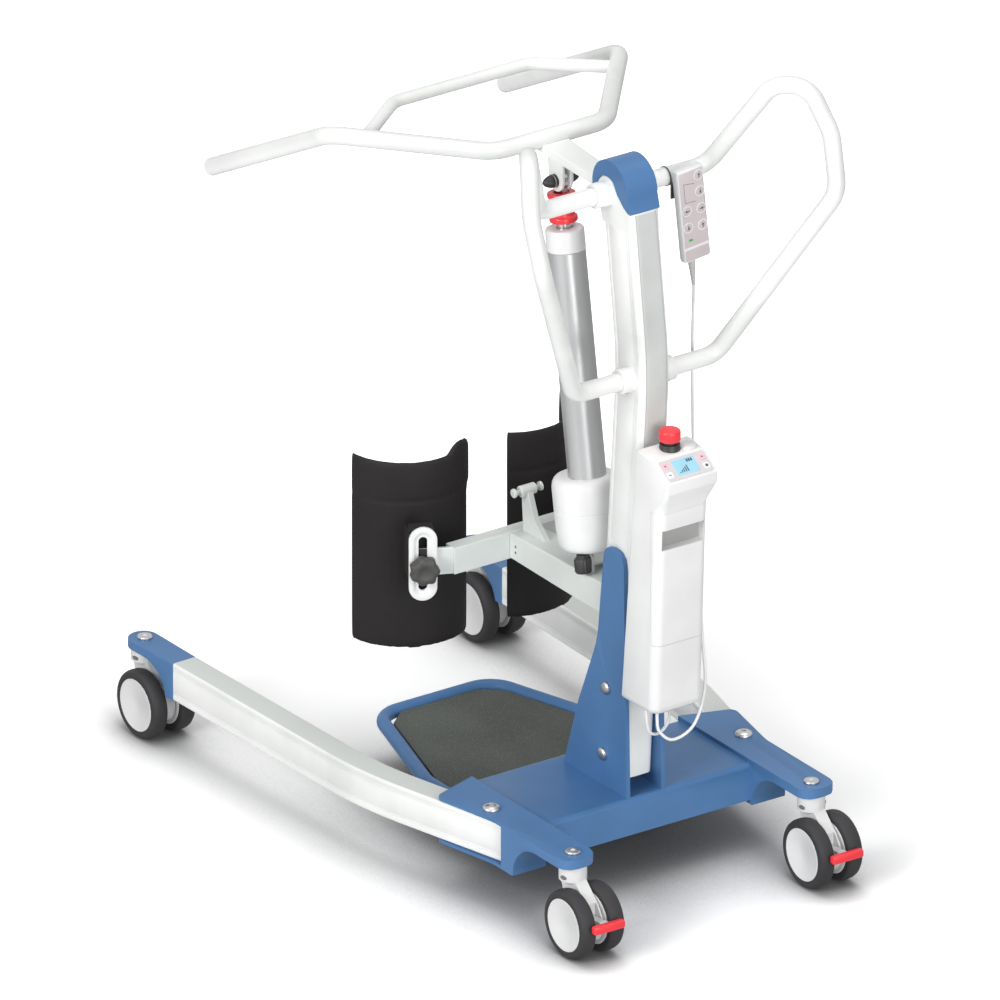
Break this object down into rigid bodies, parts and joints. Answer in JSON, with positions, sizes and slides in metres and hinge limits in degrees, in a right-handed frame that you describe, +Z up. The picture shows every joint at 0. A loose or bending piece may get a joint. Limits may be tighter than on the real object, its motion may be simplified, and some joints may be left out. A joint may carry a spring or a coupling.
{
  "type": "electric standing frame",
  "caption": "Powered standing aid: bent mast on a castor base with spreading legs, lifting arm with hand rail, knee pads, footplate, push handles, battery box and handset.",
  "frame": {"origin": "on the floor, in the middle of the outline seen from above", "axes": "+Z up; -Y towards the person who is lifted, +Y towards the carer behind the mast; +X to the left of a carer who faces the mast"},
  "size_m": [0.6356, 1.048, 1.177],
  "materials": {
    "blue_paint": "satin powder coat",
    "white_paint": "smooth powder coat",
    "white_plastic": "fine matt",
    "grey_plastic": "matt",
    "black_plastic": "matt",
    "red_plastic": "satin",
    "wheel_rubber": "matt",
    "pad_cover": "wipe-clean coated cover over foam",
    "mat_rubber": "grained, non-slip",
    "bright_steel": "zinc plated",
    "bright_aluminium": "anodised"
  },
  "bodies": {
    "frame": {"base_frame": "blue_paint", "footplate_ring": "blue_paint", "footplate_mat": "mat_rubber", "mast_bolt_lower": "bright_steel", "mast_bolt_upper": "bright_steel", "leg_pivot_bolt_left": "bright_steel", "leg_pivot_bolt_right": "bright_steel", "leg_drive_motor": "grey_plastic", "mast": "white_paint", "mast_cap": "blue_paint", "push_handle_left": "white_paint", "push_handle_right": "white_paint", "knee_beam": "white_paint", "knee_crossbar": "white_paint", "control_box": "white_plastic", "display_panel": "grey_plastic", "handset_case": "white_plastic", "handset_hook": "black_plastic", "handset_relief": "grey_plastic", "handset_cable": "white_plastic", "actuator_cable": "white_plastic"},
    "lift_arm": {"lift_arm": "white_paint", "patient_arm": "white_paint", "hand_rail": "white_paint", "actuator_pin": "black_plastic"},
    "actuator": {"actuator_motor": "white_plastic", "actuator_knob": "black_plastic", "actuator_tube": "bright_aluminium"},
    "actuator_rod": {"actuator_rod": "bright_steel"},
    "release_ring": {"release_ring": "red_plastic"},
    "battery": {"battery_pack": "white_plastic"},
    "emergency_stop": {"emergency_stop": "red_plastic"},
    "leg_left": {"leg_left": "white_paint", "leg_nose_left": "blue_paint"},
    "drive_rod_left": {"leg_drive_rod_left": "bright_steel"},
    "castor_front_left": {"castor_fork_front_left": "grey_plastic"},
    "wheels_front_left": {"castor_wheels_front_left": "wheel_rubber"},
    "castor_rear_left": {"castor_fork_rear_left": "grey_plastic"},
    "wheels_rear_left": {"castor_wheels_rear_left": "wheel_rubber"},
    "brake_left": {"brake_pedal_left": "red_plastic"},
    "knee_pad_left": {"knee_pad_left": "pad_cover", "knee_plate_left": "white_plastic"},
    "knee_knob_left": {"knee_knob_left": "black_plastic"},
    "leg_right": {"leg_right": "white_paint", "leg_nose_right": "blue_paint"},
    "drive_rod_right": {"leg_drive_rod_right": "bright_steel"},
    "castor_front_right": {"castor_fork_front_right": "grey_plastic"},
    "wheels_front_right": {"castor_wheels_front_right": "wheel_rubber"},
    "castor_rear_right": {"castor_fork_rear_right": "grey_plastic"},
    "wheels_rear_right": {"castor_wheels_rear_right": "wheel_rubber"},
    "brake_right": {"brake_pedal_right": "red_plastic"},
    "knee_pad_right": {"knee_pad_right": "pad_cover", "knee_plate_right": "white_plastic"},
    "knee_knob_right": {"knee_knob_right": "black_plastic"},
    "button_arm_up": {"handset_button_arm_up": "grey_plastic"},
    "button_arm_down": {"handset_button_arm_down": "grey_plastic"},
    "button_legs_open": {"handset_button_legs_open": "grey_plastic"},
    "button_legs_close": {"handset_button_legs_close": "grey_plastic"},
    "button_slow": {"handset_button_slow": "grey_plastic"},
    "button_fast": {"handset_button_fast": "grey_plastic"}
  },
  "joints": [
    {"name": "leg_spread_left", "type": "hinge", "parent": "frame", "child": "leg_left", "pos_m": [0.213, 0.2515, 0.1065], "axis": [0, 0, 1], "range_deg": [0, 8]},
    {"name": "drive_rod_slide_left", "type": "slide", "parent": "frame", "child": "drive_rod_left", "axis": [-1, 0, 0], "range_m": [0, 0.005]},
    {"name": "castor_swivel_front_left", "type": "hinge", "parent": "leg_left", "child": "castor_front_left", "pos_m": [0.28183, -0.49896, 0.1], "axis": [0, 0, 1], "continuous": true},
    {"name": "wheel_spin_front_left", "type": "hinge", "parent": "castor_front_left", "child": "wheels_front_left", "pos_m": [0.28183, -0.47096, 0.05], "axis": [1, 0, 0], "continuous": true},
    {"name": "castor_swivel_rear_left", "type": "hinge", "parent": "frame", "child": "castor_rear_left", "pos_m": [0.201, 0.432, 0.1], "axis": [0, 0, 1], "continuous": true},
    {"name": "wheel_spin_rear_left", "type": "hinge", "parent": "castor_rear_left", "child": "wheels_rear_left", "pos_m": [0.201, 0.46, 0.05], "axis": [1, 0, 0], "continuous": true},
    {"name": "brake_press_left", "type": "hinge", "parent": "castor_rear_left", "child": "brake_left", "pos_m": [0.201, 0.484, 0.058], "axis": [-1, 0, 0], "range_deg": [0, 12]},
    {"name": "knee_pad_height_left", "type": "slide", "parent": "frame", "child": "knee_pad_left", "axis": [0, 0, 1], "range_m": [-0.026, 0.026]},
    {"name": "knee_knob_turn_left", "type": "hinge", "parent": "frame", "child": "knee_knob_left", "pos_m": [0.15864, 0.00766, 0.401], "axis": [0.4226, 0.9063, 0], "range_deg": [0, 540]},
    {"name": "leg_spread_right", "type": "hinge", "parent": "frame", "child": "leg_right", "pos_m": [-0.213, 0.2515, 0.1065], "axis": [0, 0, 1], "range_deg": [-8, 0]},
    {"name": "drive_rod_slide_right", "type": "slide", "parent": "frame", "child": "drive_rod_right", "axis": [1, 0, 0], "range_m": [0, 0.005]},
    {"name": "castor_swivel_front_right", "type": "hinge", "parent": "leg_right", "child": "castor_front_right", "pos_m": [-0.28183, -0.49896, 0.1], "axis": [0, 0, 1], "continuous": true},
    {"name": "wheel_spin_front_right", "type": "hinge", "parent": "castor_front_right", "child": "wheels_front_right", "pos_m": [-0.28183, -0.47096, 0.05], "axis": [1, 0, 0], "continuous": true},
    {"name": "castor_swivel_rear_right", "type": "hinge", "parent": "frame", "child": "castor_rear_right", "pos_m": [-0.201, 0.432, 0.1], "axis": [0, 0, 1], "continuous": true},
    {"name": "wheel_spin_rear_right", "type": "hinge", "parent": "castor_rear_right", "child": "wheels_rear_right", "pos_m": [-0.201, 0.46, 0.05], "axis": [1, 0, 0], "continuous": true},
    {"name": "brake_press_right", "type": "hinge", "parent": "castor_rear_right", "child": "brake_right", "pos_m": [-0.201, 0.484, 0.058], "axis": [-1, 0, 0], "range_deg": [0, 12]},
    {"name": "knee_pad_height_right", "type": "slide", "parent": "frame", "child": "knee_pad_right", "axis": [0, 0, 1], "range_m": [-0.026, 0.026]},
    {"name": "knee_knob_turn_right", "type": "hinge", "parent": "frame", "child": "knee_knob_right", "pos_m": [-0.15864, 0.00766, 0.401], "axis": [-0.4226, 0.9063, 0], "range_deg": [0, 540]},
    {"name": "arm_raise", "type": "hinge", "parent": "frame", "child": "lift_arm", "pos_m": [0, 0.26, 1.031], "axis": [-1, 0, 0], "range_deg": [0, 45]},
    {"name": "actuator_tilt", "type": "hinge", "parent": "frame", "child": "actuator", "pos_m": [0, 0.1954, 0.448], "axis": [-1, 0, 0], "range_deg": [0, 2.7]},
    {"name": "actuator_stroke", "type": "slide", "parent": "actuator", "child": "actuator_rod", "axis": [0, -0.1554, 0.9879], "range_m": [0, 0.118]},
    {"name": "release_ring_turn", "type": "hinge", "parent": "actuator_rod", "child": "release_ring", "pos_m": [0, 0.11632, 0.95082], "axis": [0, -0.1554, 0.9879], "range_deg": [0, 90]},
    {"name": "battery_removal", "type": "slide", "parent": "frame", "child": "battery", "axis": [0, 1, 0], "range_m": [0, 0.05]},
    {"name": "emergency_stop_press", "type": "slide", "parent": "frame", "child": "emergency_stop", "axis": [0, 0, -1], "range_m": [0, 0.004]},
    {"name": "press_arm_up", "type": "slide", "parent": "frame", "child": "button_arm_up", "axis": [0, -1, 0], "range_m": [0, 0.0008], "stiffness_N_per_m": 400},
    {"name": "press_arm_down", "type": "slide", "parent": "frame", "child": "button_arm_down", "axis": [0, -1, 0], "range_m": [0, 0.0008], "stiffness_N_per_m": 400},
    {"name": "press_legs_open", "type": "slide", "parent": "frame", "child": "button_legs_open", "axis": [0, -1, 0], "range_m": [0, 0.0008], "stiffness_N_per_m": 400},
    {"name": "press_legs_close", "type": "slide", "parent": "frame", "child": "button_legs_close", "axis": [0, -1, 0], "range_m": [0, 0.0008], "stiffness_N_per_m": 400},
    {"name": "press_slow", "type": "slide", "parent": "frame", "child": "button_slow", "axis": [0, -1, 0], "range_m": [0, 0.0008], "stiffness_N_per_m": 400},
    {"name": "press_fast", "type": "slide", "parent": "frame", "child": "button_fast", "axis": [0, -1, 0], "range_m": [0, 0.0008], "stiffness_N_per_m": 400}
  ],
  "couplings": [
    {"joint": "leg_spread_right", "follows": "leg_spread_left", "ratio": -1},
    {"joint": "drive_rod_slide_left", "follows": "leg_spread_left", "m_per_rad": 0.034},
    {"joint": "drive_rod_slide_right", "follows": "leg_spread_left", "m_per_rad": 0.034},
    {"joint": "actuator_tilt", "follows": "arm_raise", "ratio": 0.058},
    {"joint": "actuator_stroke", "follows": "arm_raise", "m_per_rad": 0.147}
  ]
}
